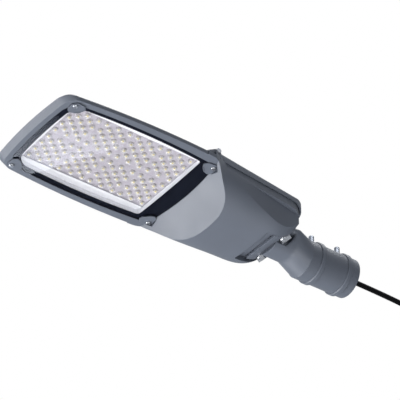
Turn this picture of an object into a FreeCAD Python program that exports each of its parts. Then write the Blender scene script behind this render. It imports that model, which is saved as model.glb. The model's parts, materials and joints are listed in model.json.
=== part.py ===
import FreeCAD, Part
import math
import os

V = FreeCAD.Vector
os.makedirs("parts", exist_ok=True)

# A die-cast LED street light head in its mounted attitude. The origin is the
# centre of the spigot socket's mouth, +X runs along the socket axis to the
# front tip of the head, +Z is up and the light shines down. Sizes are in mm.

# Spigot adaptor: socket for a 60 mm pole top, collar with two rings
pole_bore = 62.0
collar_d = 73.0
ring_d = 78.5
ring_w = 10.0
ring_x = (21.0, 79.0)
ring_edge = 1.5
neck_x = 105.0
socket_depth = 95.0
bulkhead_t = 6.0
relief_x = 64.0
relief_d = 64.0

# Neck between collar and saddle
neck_end_x = 135.0
neck_tip_x = 176.0
neck_top_z = 31.0
neck_bottom_z = -14.0
neck_top_half = 47.5
neck_tip_half = 43.5
neck_bottom_half = 22.0
neck_squareness = 3.6
passage_d = 26.0
passage_rise = 10.5
neck_bend_x = 128.0

# Tilt joint: the saddle clamps on a drum cast into the housing
pivot_x = 199.5
pivot_z = 33.0
drum_r = 40.0
drum_wall = 4.5
saddle_gap = 0.35
saddle_t = 6.0
saddle_half = 41.7
saddle_top_deg = 14.0
saddle_front_deg = 82.0
tilt_down_deg = 15.0
tilt_up_deg = 5.0
notch_w = 3.0
notch_depth = 2.0
notch_y = (22.0, 29.0, 36.0)

# Tilt clamp bolts, M10
bolt_y = 33.7
bolt_deg = 45.0
bolt_d = 10.0
bolt_af = 17.0
bolt_head_h = 6.4
bolt_washer_d = 20.0
bolt_washer_t = 2.0
bolt_grip = 31.0
bolt_hole_clear = 0.05
slot_clear = 0.6
bolt_boss_d = 22.0
bolt_boss_r = 15.0
pocket_y = 22.5
pocket_top_deg = 17.0
pocket_r = 60.0

# Set screws of the collar, M10 with a hexagon socket
set_screw_d = 10.0
set_screw_len = 27.0
set_screw_key = 5.0
set_screw_key_depth = 6.0
set_screw_clear = 0.05

# Lead and its gland in the bulkhead, M20
lead_d = 9.6
gland_thread_d = 20.0
gland_af = 24.0
gland_flange_t = 5.0
gland_cap_d = 23.0
gland_cap_len = 24.0
gland_taper_len = 12.0
gland_bore_clear = 0.15
entry_deg = 38.0
entry_hole_d = 20.0
lead_drum_gap = 3.4
inner_lead_d = 7.0
led_lead_d = 3.0
pass_z = 34.2
pass_d = 4.0
core_d = 3.2
core_len = 26.0
core_spread = 2.3
ferrule_d = 2.0
ferrule_len = 8.0

# Plan of the optical frame: four big arcs joined by corner arcs
frame_front_x = 678.0
frame_rear_x = 338.0
frame_half = 121.3
frame_wide_x = 461.0
frame_side_r = 1700.0
frame_front_r = 820.0
frame_rear_r = 900.0
frame_front_corner = 28.0
frame_rear_corner = 62.0
face_z = 25.0
waist_z = 31.5
nose_slope = 11.0
face_side_in = 0.9
roof_z1 = 41.0
roof_in1 = 9.5
roof_z2 = 50.0
roof_in2 = 24.0

# Glass window
glass_front_x = 657.5
glass_rear_x = 354.0
glass_half = 107.6
glass_wide_x = 500.0
glass_side_r = 1240.0
glass_front_r = 900.0
glass_rear_r = 507.0
glass_front_corner = 34.0
glass_rear_corner = 26.0
glass_gap = 0.6
glass_t = 4.0
glass_sink = 0.4
gasket_t = 3.0
gasket_w = 7.0
ledge_in = 8.0
chamber_top_z = 43.6
chamber_rear_x = 384.8
chamber_low_z = 36.0

# Fins on the roof of the optical chamber
fin_count = 11
fin_pitch = 15.0
fin_t = 3.0
fin_top_z = 61.0
fin_front_x = 640.0
fin_rear_x = 402.0

# Corner clips that hold the glass
clip_screw_x = (364.2, 644.4)
clip_screw_y = (95.5, 97.0)
clip_t = 2.2
clip_lip_h = 1.2
clip_round = 2.5
clip_seat_gap = 0.8
clip_screw_d = 4.0
clip_head_d = 8.5
clip_head_h = 2.4
clip_screw_len = 14.0

# Gear compartment: hull below the seam, cut by a slanted front facet
seam_z = 40.0
pod_rear_x = 149.5
pod_front_x = 392.0
pod_ref_x = 190.0
pod_ref_half = 83.5
pod_taper = 0.108
pod_flare_x = 340.0
pod_flare = 0.46
pod_flare_end_x = 376.0
pod_depth = 60.0
pod_corner = 46.0
hull_round_front = 2.6
hull_round_mid = 3.4
hull_round_end = 2.4
hull_mid_x = 204.0
hull_end_curve = 2.2
pod_wall = 4.0
facet_run = 70.0
facet_slope = 1.03
side_ridge_z = 27.0
side_cut_front = (310.0, 98.5)
side_cut_rear = (160.0, 70.0)
side_cut_lean = 0.25
recess_half = 47.0
recess_front_x = 215.0
recess_top_z = 36.5
gear_front_x = 352.0

# Lid over the gear compartment, hinged on two pins at its front
hinge_x = 368.0
hinge_z = 46.0
lid_gap = 0.8
roof_start_x = 382.0
lid_lip = 2.0
lid_rear_x = 144.0
lid_wall = 3.0
lid_front_x = 364.0
lid_edge_z_front = 56.5
lid_edge_z_rear = 51.5
lid_crown = 9.5
lid_edge_round = 5.0
ear_in = 95.0
ear_out = 101.0
ear_r = 5.5
lug_out = 113.0
lug_gap = 0.4
lug_r = 5.2
lug_foot_x = (361.0, 396.0)
lug_foot_z = 34.0
lug_notch = 0.8
lug_slope = ((371.0, 50.5), (389.0, 40.0), (394.0, lug_foot_z))
pin_d = 6.0
pin_head_d = 9.0
pin_head_t = 4.0
pin_clear = 0.05
lid_screw_x = 163.0
lid_screw_y = 58.0
lid_screw_d = 6.0
lid_screw_head_d = 12.0
lid_screw_head_h = 5.0
lid_screw_play = 0.4
lid_screw_grip = 4.0
lid_boss_d = 14.0
lid_seal_w = 5.0

# Electrical gear
tray_t = 1.5
tray_z = 8.0
tray_x = (224.0, 322.0)
tray_half = 64.0
tray_post_d = 9.0
tray_post_x = (236.0, 290.0)
tray_post_y = 56.0
tray_screw_d = 4.0
driver_size = (88.0, 44.0, 27.0)
driver_at = (274.0, 24.0)
surge_size = (40.0, 26.0, 22.0)
surge_at = (298.0, -36.0)
terminal_size = (22.0, 34.0, 16.0)
terminal_at = (246.0, -34.0)

# Light engine
board_size = (250.0, 172.0)
board_t = 1.6
board_x = 511.0
lens_pitch = 11.4
lens_row = 10.3
module_pitch_x = 62.2
module_pitch_y = 82.1
module_size = (58.6, 77.0)
lens_plate_t = 2.0
lens_plate_h = 3.2
lens_plate_rim = 1.6
lens_dome = ((4.9, 0.0), (4.1, 2.2), (2.2, 3.7))
lens_sides = 12
chip_size = 3.0
chip_t = 0.6

# White frame round the lenses: a sheet with a skirt down to the glass
frame_sheet_t = 1.0
skirt_low_z = 30.4
window_front_x = 644.5
window_rear_x = 386.6
window_half = 97.1
window_wide_x = 500.0
window_side_r = 1240.0
window_front_r = 900.0
window_rear_r = 2500.0
window_front_corner = 18.0
window_rear_corner = 6.0


def box(x0, x1, y0, y1, z0, z1):
    return Part.makeBox(x1 - x0, y1 - y0, z1 - z0, V(x0, y0, z0))


def cyl(start, axis, r, h):
    return Part.makeCylinder(r, h, V(*start), V(*axis))


def cyl_y(x, z, r, y0, y1):
    return Part.makeCylinder(r, y1 - y0, V(x, y0, z), V(0, 1, 0))


def hex_prism(start, axis, across_flats, h):
    """A hexagonal prism that stands on start and grows along axis."""
    r = across_flats / math.sqrt(3.0)
    turn = FreeCAD.Rotation(V(0, 0, 1), V(*axis))
    corners = []
    for k in range(7):
        a = math.radians(60.0 * k)
        corners.append(V(*start) + turn.multVec(V(r * math.cos(a), r * math.sin(a), 0)))
    face = Part.Face(Part.makePolygon(corners))
    return face.extrude(turn.multVec(V(0, 0, h)))


def mirror_y(shape):
    return shape.mirror(V(0, 0, 0), V(0, 1, 0))


def both_sides(shape):
    return [shape, mirror_y(shape)]


def save(name, shape):
    shape.exportStep("parts/" + name + ".step")
    kind = "ok" if shape.isValid() else "NOT VALID"
    print(name, len(shape.Solids), "solids", round(shape.Volume), "mm3", kind)


def corner_arc(side_c, side_r, end_c, end_r, r, pick):
    """Circle of radius r that touches a side arc and an end arc from inside.

    Gives its two touching points and its middle point."""
    ra = side_r - r
    rb = end_r - r
    gap = end_c - side_c
    d = gap.Length
    along = (ra * ra - rb * rb + d * d) / (2.0 * d)
    off = math.sqrt(ra * ra - along * along)
    u = gap / d
    w = V(-u.y, u.x, 0)
    found = [side_c + u * along + w * off, side_c + u * along - w * off]
    q = max(found, key=pick)
    on_side = q + (q - side_c) / (q - side_c).Length * r
    on_end = q + (q - end_c) / (q - end_c).Length * r
    half_way = (on_side + on_end) * 0.5 - q
    return on_side, q + half_way / half_way.Length * r, on_end


def arc_mid(a, b, c, r):
    """Middle of the arc from a to b about centre c."""
    m = (a + b) * 0.5 - c
    return c + m / m.Length * r


def barrel(front, rear, half, wide_x, side_r, front_r, rear_r, front_c, rear_c, inset, z):
    """Closed barrel-shaped outline, moved inwards by inset, at height z."""
    front = front - inset
    rear = rear + inset
    half = half - inset
    side_r = side_r - inset
    front_r = front_r - inset
    rear_r = rear_r - inset
    front_c = max(front_c - inset, 2.0)
    rear_c = max(rear_c - inset, 2.0)
    side = V(wide_x, half - side_r, 0)
    nose = V(front - front_r, 0, 0)
    tail = V(rear + rear_r, 0, 0)
    fs, fm, fe = corner_arc(side, side_r, nose, front_r, front_c, lambda p: p.y + p.x)
    rs, rm, re = corner_arc(side, side_r, tail, rear_r, rear_c, lambda p: p.y - p.x)
    flip = lambda p: V(p.x, -p.y, 0)
    side_mid = arc_mid(fs, rs, side, side_r)
    runs = [
        (flip(fe), V(front, 0, 0), fe),
        (fe, fm, fs),
        (fs, side_mid, rs),
        (rs, rm, re),
        (re, V(rear, 0, 0), flip(re)),
        (flip(re), flip(rm), flip(rs)),
        (flip(rs), flip(side_mid), flip(fs)),
        (flip(fs), flip(fm), flip(fe)),
    ]
    lift = V(0, 0, z)
    edges = [Part.Arc(a + lift, b + lift, c + lift).toShape() for a, b, c in runs]
    return Part.Wire(edges)


def frame_wire(inset, z, nose_in=0.0):
    return barrel(frame_front_x - nose_in, frame_rear_x, frame_half, frame_wide_x,
                  frame_side_r, frame_front_r, frame_rear_r,
                  frame_front_corner, frame_rear_corner, inset, z)


def glass_wire(inset, z):
    return barrel(glass_front_x, glass_rear_x, glass_half, glass_wide_x,
                  glass_side_r, glass_front_r, glass_rear_r,
                  glass_front_corner, glass_rear_corner, inset, z)


def window_wire(inset, z):
    return barrel(window_front_x, window_rear_x, window_half, window_wide_x,
                  window_side_r, window_front_r, window_rear_r,
                  window_front_corner, window_rear_corner, inset, z)


def prism(wire, h):
    return Part.Face(wire).extrude(V(0, 0, h))


def sector(r0, r1, y0, y1, deg0, deg1):
    """Part of a ring about the tilt axis. Degrees run from the rear, downwards."""
    def at(r, y):
        a = math.radians(deg0)
        return V(pivot_x - r * math.cos(a), y, pivot_z - r * math.sin(a))
    ring = Part.makePolygon([at(r0, y0), at(r1, y0), at(r1, y1), at(r0, y1), at(r0, y0)])
    return Part.Face(ring).revolve(V(pivot_x, 0, pivot_z), V(0, -1, 0), deg1 - deg0)


def bolt_point(r, y):
    a = math.radians(bolt_deg)
    return (pivot_x - r * math.cos(a), y, pivot_z - r * math.sin(a))


bolt_out = (-math.cos(math.radians(bolt_deg)), 0.0, -math.sin(math.radians(bolt_deg)))
bolt_in = (-bolt_out[0], 0.0, -bolt_out[2])


# Gear compartment shapes

def pod_half(x):
    flare = max(0.0, min(x, pod_flare_end_x) - pod_flare_x) * pod_flare
    return pod_ref_half + pod_taper * (x - pod_ref_x) + flare


def hull_round(x):
    if x > hull_mid_x:
        t = (x - hull_mid_x) / (pod_front_x - hull_mid_x)
        return hull_round_mid + (hull_round_front - hull_round_mid) * t
    t = (hull_mid_x - x) / (hull_mid_x - pod_rear_x)
    return hull_round_mid + (hull_round_end - hull_round_mid) * t


def hull_depth(x):
    """Full depth, falling off in a curve towards the rear end."""
    t = max(0.0, (hull_mid_x - x) / (hull_mid_x - pod_rear_x))
    return pod_depth * (1.0 - t ** hull_end_curve) ** (1.0 / hull_end_curve)


def hull_section(x, inset, top_z):
    """Rounded belly section at x, open upwards to top_z, as a closed wire."""
    n = hull_round(x)
    w = pod_half(x) - inset
    depth = hull_depth(x - inset) - inset
    steps = 18
    pts = []
    for k in range(steps + 1):
        a = math.pi * k / steps
        c = math.cos(a)
        s = math.sin(a)
        y = math.copysign(abs(c) ** (2.0 / n), c) * w
        z = seam_z - abs(s) ** (2.0 / n) * depth
        pts.append(V(x, y, z))
    belly = Part.BSplineCurve()
    belly.interpolate(pts)
    first = pts[0]
    last = pts[-1]
    if top_z == seam_z:
        return Part.Wire([belly.toShape(), Part.makeLine(last, first)])
    up_first = V(x, first.y, top_z)
    up_last = V(x, last.y, top_z)
    edges = [
        belly.toShape(),
        Part.makeLine(last, up_last),
        Part.makeLine(up_last, up_first),
        Part.makeLine(up_first, first),
    ]
    return Part.Wire(edges)


def hull_block(inset, top_z, x_front):
    first = pod_rear_x + inset + 1.0
    xs = [first, first + 3.0, first + 9.0, first + 19.0, first + 32.0, 200.0, 235.0, 280.0, 325.0]
    xs += [x for x in (342.0, 358.0, 375.0) if x < x_front - 5.0] + [x_front]
    return Part.makeLoft([hull_section(x, inset, top_z) for x in xs], True, False)


def pod_prism(inset, x_front, z0, z1, rear_x=pod_rear_x):
    """Tapered plan of the gear compartment with two rounded rear corners."""
    x0 = rear_x + inset
    w0 = pod_half(x0) - inset
    side = [(x, pod_half(x) - inset) for x in (pod_flare_x, pod_flare_end_x) if x < x_front]
    side.append((x_front, pod_half(x_front) - inset))
    if inset < 0.0:
        side = [(x_front, pod_half(pod_flare_x) + pod_taper * (x_front - pod_flare_x) - inset)]
    pts = [V(x0, -w0, z0)] + [V(x, -w, z0) for x, w in side]
    pts += [V(x, w, z0) for x, w in reversed(side)] + [V(x0, w0, z0)]
    block = Part.Face(Part.makePolygon(pts + pts[:1])).extrude(V(0, 0, z1 - z0))
    rear = [e for e in block.Edges
            if abs(e.Vertexes[0].X - x0) < 0.01 and abs(e.Vertexes[-1].X - x0) < 0.01
            and abs(e.Vertexes[0].Y - e.Vertexes[-1].Y) < 0.01]
    return block.makeFillet(pod_corner - inset, rear)


def facet_tool():
    """What the slanted front facet takes off below and ahead of the glass edge."""
    c = V(glass_rear_x + glass_rear_r, 0, face_z)
    spread = math.radians(16.0)
    tip = V(glass_rear_x, 0, face_z)
    a = c + V(-glass_rear_r * math.cos(spread), glass_rear_r * math.sin(spread), 0)
    b = V(a.x, -a.y, a.z)
    ahead = 560.0
    edges = [
        Part.Arc(a, tip, b).toShape(),
        Part.makeLine(b, V(ahead, b.y, face_z)),
        Part.makeLine(V(ahead, b.y, face_z), V(ahead, a.y, face_z)),
        Part.makeLine(V(ahead, a.y, face_z), a),
    ]
    return Part.Face(Part.Wire(edges)).extrude(V(-facet_run * facet_slope, 0, -facet_run))


def side_cut():
    """Sunk side facet below the ridge of the compartment, near side."""
    x0, y0 = side_cut_rear
    x1, y1 = side_cut_front
    grow = 60.0
    slope = (y1 - y0) / (x1 - x0)
    ya = y0 - slope * grow
    xa = x0 - grow
    low = side_ridge_z - 60.0
    lean = 60.0 * side_cut_lean
    wide = 60.0
    base = [V(xa, ya, side_ridge_z), V(x1, y1, side_ridge_z)]
    foot = [V(xa, ya - lean, low), V(x1, y1 - lean, low)]
    far = [V(xa, y1 + wide, side_ridge_z), V(x1, y1 + wide, side_ridge_z)]
    end_a = Part.makePolygon([base[0], foot[0], V(xa, y1 + wide, low), far[0], base[0]])
    end_b = Part.makePolygon([base[1], foot[1], V(x1, y1 + wide, low), far[1], base[1]])
    return Part.makeLoft([end_a, end_b], True, True)


def recess_tool(grow):
    """Pocket under the compartment in which the saddle swings."""
    block = box(pod_rear_x - 60.0, recess_front_x + grow, -recess_half - grow,
                recess_half + grow, -60.0, recess_top_z + (10.0 if grow else 0.0))
    drum = cyl_y(pivot_x, pivot_z, drum_r - (drum_wall if grow else 0.0), -120.0, 120.0)
    return block.cut(drum)


def make_housing():
    face_wire = frame_wire(face_side_in, face_z, nose_slope)
    waist_wire = frame_wire(0.0, waist_z)
    roof_a = frame_wire(roof_in1, roof_z1)
    roof_b = frame_wire(roof_in2, roof_z2)
    head = Part.makeLoft([face_wire, waist_wire, roof_a, roof_b], True, True)
    head = head.cut(box(0, roof_start_x, -200, 200, seam_z, 200))

    # Gear compartment hull, hollowed
    hull = hull_block(0.0, seam_z, pod_front_x)
    hull = hull.common(pod_prism(0.0, pod_front_x + 20.0, -80, 80))
    hull = hull.cut(facet_tool())
    for tool in both_sides(side_cut()):
        hull = hull.cut(tool)
    hull = hull.cut(box(hinge_x + 8.0, 500, -200, 200, waist_z, 90))
    body = head.fuse(hull)
    body = body.cut(recess_tool(0.0))

    room = hull_block(pod_wall, seam_z + 5.0, gear_front_x)
    room = room.common(pod_prism(pod_wall, pod_front_x, -80, 80))
    facet_in = facet_tool()
    facet_in.translate(V(0, 0, pod_wall * 1.4))
    room = room.cut(facet_in)
    for tool in both_sides(side_cut()):
        tool.translate(V(0, -math.copysign(pod_wall, tool.CenterOfMass.y), 0))
        tool.translate(V(0, 0, pod_wall))
        room = room.cut(tool)
    room = room.cut(recess_tool(pod_wall))
    # Bosses for the tilt clamp bolts, and posts for the gear tray
    for side in (-1, 1):
        start = bolt_point(bolt_boss_r, side * bolt_y)
        room = room.cut(cyl(start, bolt_out, bolt_boss_d / 2, drum_r - bolt_boss_r))
    body = body.cut(room)

    # Tray posts stand on the belly floor
    for x, y in tray_post_places():
        floor = seam_z - pod_depth
        post = cyl((x, y, floor), (0, 0, 1), tray_post_d / 2, tray_z - floor)
        body = body.fuse(post.common(hull_block(pod_wall / 2, seam_z, pod_front_x)))
        body = body.cut(cyl((x, y, tray_z - 8.0), (0, 0, 1), tray_screw_d / 2 + 0.05, 9.0))

    # Posts for the two lid screws
    for side in (-1, 1):
        post = cyl((lid_screw_x, side * lid_screw_y, 4.0), (0, 0, 1), 7.0, seam_z - 4.0 - 0.01)
        body = body.fuse(post.common(hull_block(1.0, seam_z, pod_front_x)))
        body = body.cut(cyl((lid_screw_x, side * lid_screw_y, seam_z - 12.0), (0, 0, 1),
                            lid_screw_d / 2 + lid_screw_play, 30.0))

    # Glass pocket, optical chamber and clip screw holes
    body = body.cut(prism(glass_wire(0.0, face_z - 5.0), 5.0 + glass_sink + glass_t + gasket_t))
    chamber = prism(glass_wire(ledge_in, face_z), chamber_top_z - face_z)
    chamber = chamber.cut(box(0, chamber_rear_x, -200, 200, chamber_low_z, 100))
    body = body.cut(chamber)
    for x, y in clip_places():
        if x < 500.0:
            body = body.cut(clip_prism(x, y, clip_seat_gap, face_z - 25.0, 25.0))
        body = body.cut(cyl((x, y, face_z - 1.0), (0, 0, 1), clip_screw_d / 2 + 0.05,
                            clip_screw_len - clip_t + 1.5))

    # Roof fins along the head
    for k in range(fin_count):
        y = (k - (fin_count - 1) / 2.0) * fin_pitch
        body = body.fuse(roof_fin(y))

    # Hinge lugs
    for side in (-1, 1):
        y0, y1 = sorted((side * (ear_out + lug_gap), side * lug_out))
        outline = [V(lug_foot_x[0], y0, lug_foot_z), V(lug_foot_x[0], y0, hinge_z)]
        outline += [V(x, y0, z) for x, z in lug_slope]
        lug = Part.Face(Part.makePolygon(outline + outline[:1])).extrude(V(0, y1 - y0, 0))
        lug = lug.fuse(cyl_y(hinge_x, hinge_z, lug_r, y0, y1))
        body = body.fuse(lug)
        body = body.cut(cyl_y(hinge_x, hinge_z, pin_d / 2 + pin_clear, y0 - 1, y1 + 1))
        # Room for the lid's ears
        y0, y1 = sorted((side * (ear_in - lug_gap), side * (ear_out + lug_gap)))
        body = body.cut(box(hinge_x - 30.0, roof_start_x, y0, y1, hinge_z - ear_r - 0.8, 90))

    # Hole for the lead to the light engine
    body = body.cut(cyl((gear_front_x - 10.0, driver_at[1], pass_z), (1, 0, 0), pass_d / 2, 26.0))

    # Cable hole through the drum, blind holes for the clamp bolts
    body = body.cut(cyl(drum_point(25.0), entry_dir(), entry_hole_d / 2, 30.0))
    for side in (-1, 1):
        body = body.cut(cyl(bolt_point(drum_r + 1.0, side * bolt_y), bolt_in,
                            bolt_d / 2 + bolt_hole_clear, bolt_grip - 6.0))
    return body


def entry_dir():
    a = math.radians(entry_deg)
    return (-math.cos(a), 0.0, -math.sin(a))


def drum_point(r):
    ux, uy, uz = entry_dir()
    return (pivot_x + r * ux, 0.0, pivot_z + r * uz)


def tray_post_places():
    return [(x, side * tray_post_y) for x in tray_post_x for side in (-1, 1)]


def clip_places():
    rear_x, front_x = clip_screw_x
    rear_y, front_y = clip_screw_y
    return [(rear_x, rear_y), (rear_x, -rear_y), (front_x, front_y), (front_x, -front_y)]


clip_shape = [(-6.0, 15.0), (0.0, 20.0), (8.0, 17.0), (17.0, 8.0), (20.0, 0.0), (15.0, -6.5),
              (0.0, -8.0), (-7.5, 0.0)]


def clip_prism(x, y, grow, z0, h):
    to_x = 1.0 if x < 500.0 else -1.0
    to_y = -1.0 if y > 0 else 1.0
    cx = sum(a for a, b in clip_shape) / len(clip_shape)
    cy = sum(b for a, b in clip_shape) / len(clip_shape)
    pts = []
    for a, b in clip_shape:
        r = math.hypot(a - cx, b - cy)
        a = cx + (a - cx) * (r + grow) / r
        b = cy + (b - cy) * (r + grow) / r
        pts.append(V(x + to_x * a, y + to_y * b, z0))
    block = Part.Face(Part.makePolygon(pts + pts[:1])).extrude(V(0, 0, h))
    upright = [e for e in block.Edges if abs(e.Length - h) < 0.01
               and abs(e.Vertexes[0].X - e.Vertexes[-1].X) < 0.01
               and abs(e.Vertexes[0].Y - e.Vertexes[-1].Y) < 0.01]
    return block.makeFillet(clip_round, upright)


def make_clip(x, y):
    """Corner plate round a clip screw, reaching over the glass corner."""
    to_x = 1.0 if x < 500.0 else -1.0
    to_y = -1.0 if y > 0 else 1.0
    low = face_z - clip_t
    plate = clip_prism(x, y, 0.0, low, clip_t)
    # Raised bead along the edge over the glass
    a = V(x + to_x * 8.0, y + to_y * 16.0, low)
    b = V(x + to_x * 16.0, y + to_y * 8.0, low)
    bead = Part.makeCylinder(clip_lip_h, (b - a).Length, a, b - a)
    plate = plate.fuse(bead.cut(box(0, 900, -200, 200, low + clip_t, 200)))
    return plate.cut(cyl((x, y, low - 5.0), (0, 0, 1), clip_screw_d / 2 + 0.1, 12.0))


def make_clip_screws():
    out = []
    low = face_z - clip_t
    for x, y in clip_places():
        head = cyl((x, y, low - clip_head_h), (0, 0, 1), clip_head_d / 2, clip_head_h)
        rim = [e for e in head.Edges if e.Closed and abs(e.Vertexes[0].Z - low + clip_head_h) < 0.01]
        head = head.makeChamfer(0.8, rim)
        slot = hex_prism((x, y, low - clip_head_h - 1.0), (0, 0, 1), 3.0, 2.4)
        shank = cyl((x, y, low), (0, 0, 1), clip_screw_d / 2, clip_screw_len)
        out.append(head.fuse(shank).cut(slot))
    return Part.makeCompound(out)


def roof_fin(y):
    """Straight cooling fin with a rising front and a round tail."""
    low = roof_z2 - 2.0
    y0 = y - fin_t / 2
    lean = 30.0
    fall = 0.0009 * y * y
    pts = [
        V(fin_rear_x, y0, low),
        V(fin_front_x - fall * 8.0, y0, low),
        V(fin_front_x - lean - fall * 8.0, y0, fin_top_z - 4.0),
        V(fin_front_x - 3.2 * lean, y0, fin_top_z),
        V(fin_rear_x + 8.0, y0, fin_top_z),
    ]
    return Part.Face(Part.makePolygon(pts + pts[:1])).extrude(V(0, fin_t, 0))


def neck_section(x, top_half):
    """Closed section of the neck: wide at the top, narrow at the bottom."""
    mid = (neck_top_z + neck_bottom_z) / 2
    reach = (neck_top_z - neck_bottom_z) / 2
    steps = 24
    pts = []
    for k in range(steps):
        a = 2.0 * math.pi * k / steps
        c = math.copysign(abs(math.cos(a)) ** (2.0 / neck_squareness), math.cos(a))
        s = math.copysign(abs(math.sin(a)) ** (2.0 / neck_squareness), math.sin(a))
        t = (s + 1.0) / 2.0
        w = neck_bottom_half + (top_half - neck_bottom_half) * t
        pts.append(V(x, c * w, mid + s * reach))
    return closed_curve(pts)


def collar_section(x):
    r = collar_d / 2 - 0.25
    steps = 24
    pts = []
    for k in range(steps):
        a = 2.0 * math.pi * k / steps
        pts.append(V(x, r * math.cos(a), r * math.sin(a)))
    return closed_curve(pts)


def closed_curve(pts):
    curve = Part.BSplineCurve()
    curve.interpolate(pts, PeriodicFlag=True)
    return Part.Wire(curve.toShape())


def make_adaptor():
    sections = [collar_section(neck_x - 1.0), neck_section(neck_end_x, neck_top_half),
                neck_section(neck_tip_x, neck_tip_half)]
    neck = Part.makeLoft(sections, True, True)
    neck = neck.cut(cyl_y(pivot_x, pivot_z, drum_r + saddle_gap + saddle_t / 2, -90, 90))
    outside = drum_r + saddle_gap + saddle_t
    for side in (-1, 1):
        y0, y1 = sorted((side * pocket_y, side * 70.0))
        neck = neck.cut(sector(outside, pocket_r, y0, y1, pocket_top_deg, 120.0))
    inside = drum_r + saddle_gap
    saddle = sector(inside, outside, -saddle_half, saddle_half, saddle_top_deg, saddle_front_deg)
    body = saddle.fuse(neck)
    # Slots that let the clamp bolts travel as the head tilts
    half_slot = bolt_d / 2 + slot_clear
    end_deg = math.degrees(half_slot / (inside + saddle_t / 2))
    for side in (-1, 1):
        y0, y1 = sorted((side * bolt_y - half_slot, side * bolt_y + half_slot))
        body = body.cut(sector(inside - 2.0, outside + 1.0, y0, y1,
                               bolt_deg - tilt_down_deg - end_deg,
                               bolt_deg + tilt_up_deg + end_deg))
    # Angle notches on the front edge of the saddle
    for side in (-1, 1):
        for y in notch_y:
            y0, y1 = sorted((side * y, side * y + notch_w))
            body = body.cut(sector(inside - 1.0, inside + notch_depth, y0, y1,
                                   saddle_front_deg - 4.0, saddle_front_deg + 2.0))
    # Collar and its rings
    body = body.fuse(cyl((0, 0, 0), (1, 0, 0), collar_d / 2, neck_x))
    for x in ring_x:
        ring = cyl((x - ring_w / 2, 0, 0), (1, 0, 0), ring_d / 2, ring_w)
        body = body.fuse(ring.makeChamfer(ring_edge, ring.Edges))
    # Socket, bulkhead with gland thread, and lead passage
    body = body.cut(cyl((-1, 0, 0), (1, 0, 0), pole_bore / 2, socket_depth + 1.0))
    body = body.cut(cyl((relief_x, 0, 0), (1, 0, 0), relief_d / 2, socket_depth - relief_x))
    body = body.cut(cyl((socket_depth - 1.0, 0, 0), (1, 0, 0), gland_thread_d / 2,
                        bulkhead_t + 2.0))
    start = V(socket_depth + bulkhead_t, 0, 0)
    aim = V(neck_tip_x + 4.0 - start.x, 0, passage_rise)
    body = body.cut(Part.makeCylinder(passage_d / 2, aim.Length, start, aim))
    # Tapped holes of the set screws, through the rings
    for x in ring_x:
        body = body.cut(cyl((x, 0, 0), (0, 0, 1), set_screw_d / 2 + set_screw_clear, ring_d))
    return body


def make_set_screws():
    out = []
    for x in ring_x:
        low = pole_bore / 2 + 0.5
        screw = cyl((x, 0, low), (0, 0, 1), set_screw_d / 2, set_screw_len)
        screw = screw.makeChamfer(1.0, [e for e in screw.Edges if e.Length > 20.0
                                        and e.Closed])
        top = low + set_screw_len
        key = hex_prism((x, 0, top - set_screw_key_depth), (0, 0, 1), set_screw_key,
                        set_screw_key_depth + 1.0)
        out.append(screw.cut(key))
    return Part.makeCompound(out)


def make_clamp_bolts():
    seat = drum_r + saddle_gap + saddle_t + bolt_washer_t + 0.05
    out = []
    for side in (-1, 1):
        shank = cyl(bolt_point(seat - bolt_grip, side * bolt_y), bolt_out, bolt_d / 2,
                    bolt_grip + 1.0)
        head = hex_prism(bolt_point(seat, side * bolt_y), bolt_out, bolt_af, bolt_head_h)
        out.append(shank.fuse(head))
    return Part.makeCompound(out)


def make_clamp_washers():
    seat = drum_r + saddle_gap + saddle_t + 0.05
    out = []
    for side in (-1, 1):
        ring = cyl(bolt_point(seat, side * bolt_y), bolt_out, bolt_washer_d / 2, bolt_washer_t)
        hole = cyl(bolt_point(seat - 1.0, side * bolt_y), bolt_out, bolt_d / 2 + 0.25,
                   bolt_washer_t + 2.0)
        out.append(ring.cut(hole))
    return Part.makeCompound(out)


def lid_half(x, inset):
    return pod_ref_half + pod_taper * (x - pod_ref_x) + lid_lip - inset


def lid_section(x, inset, low):
    """Arched cross section of the lid, as a closed wire."""
    t = (x - pod_rear_x) / (lid_front_x - pod_rear_x)
    w = lid_half(x, inset)
    edge = lid_edge_z_rear + (lid_edge_z_front - lid_edge_z_rear) * t - inset
    top = edge + lid_crown
    r = lid_edge_round
    p = [V(x, w, low), V(x, w, edge - r), V(x, w - 0.3 * r, edge - 0.3 * r), V(x, w - r, edge),
         V(x, 0, top)]
    q = [V(v.x, -v.y, v.z) for v in p]
    edges = [
        Part.makeLine(p[0], p[1]),
        Part.Arc(p[1], p[2], p[3]).toShape(),
        Part.Arc(p[3], p[4], q[3]).toShape(),
        Part.Arc(q[3], q[2], q[1]).toShape(),
        Part.makeLine(q[1], q[0]),
        Part.makeLine(q[0], p[0]),
    ]
    return Part.Wire(edges)


def lid_block(inset, low, x_front):
    sections = [lid_section(x, inset, low) for x in (pod_rear_x - 20.0, x_front)]
    block = Part.makeLoft(sections, True, True)
    block = block.common(pod_prism(inset - lid_lip, x_front + 10.0, low - 1.0, 120.0,
                                   lid_rear_x + lid_lip))
    # Rounded rear top edge, as a side view
    x0 = lid_rear_x + inset
    high = lid_edge_z_rear + lid_crown - inset
    a = V(x0, -150.0, high - 16.0)
    b = V(x0 + 26.0, -150.0, high + 1.0)
    mid = V(x0 + 6.0, -150.0, high - 5.0)
    corner = V(x0 - 30.0, -150.0, high + 40.0)
    edges = [
        Part.Arc(a, mid, b).toShape(),
        Part.makeLine(b, V(b.x, b.y, corner.z)),
        Part.makeLine(V(b.x, b.y, corner.z), corner),
        Part.makeLine(corner, V(corner.x, a.y, a.z)),
        Part.makeLine(V(corner.x, a.y, a.z), a),
    ]
    return block.cut(Part.Face(Part.Wire(edges)).extrude(V(0, 300.0, 0)))


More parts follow.
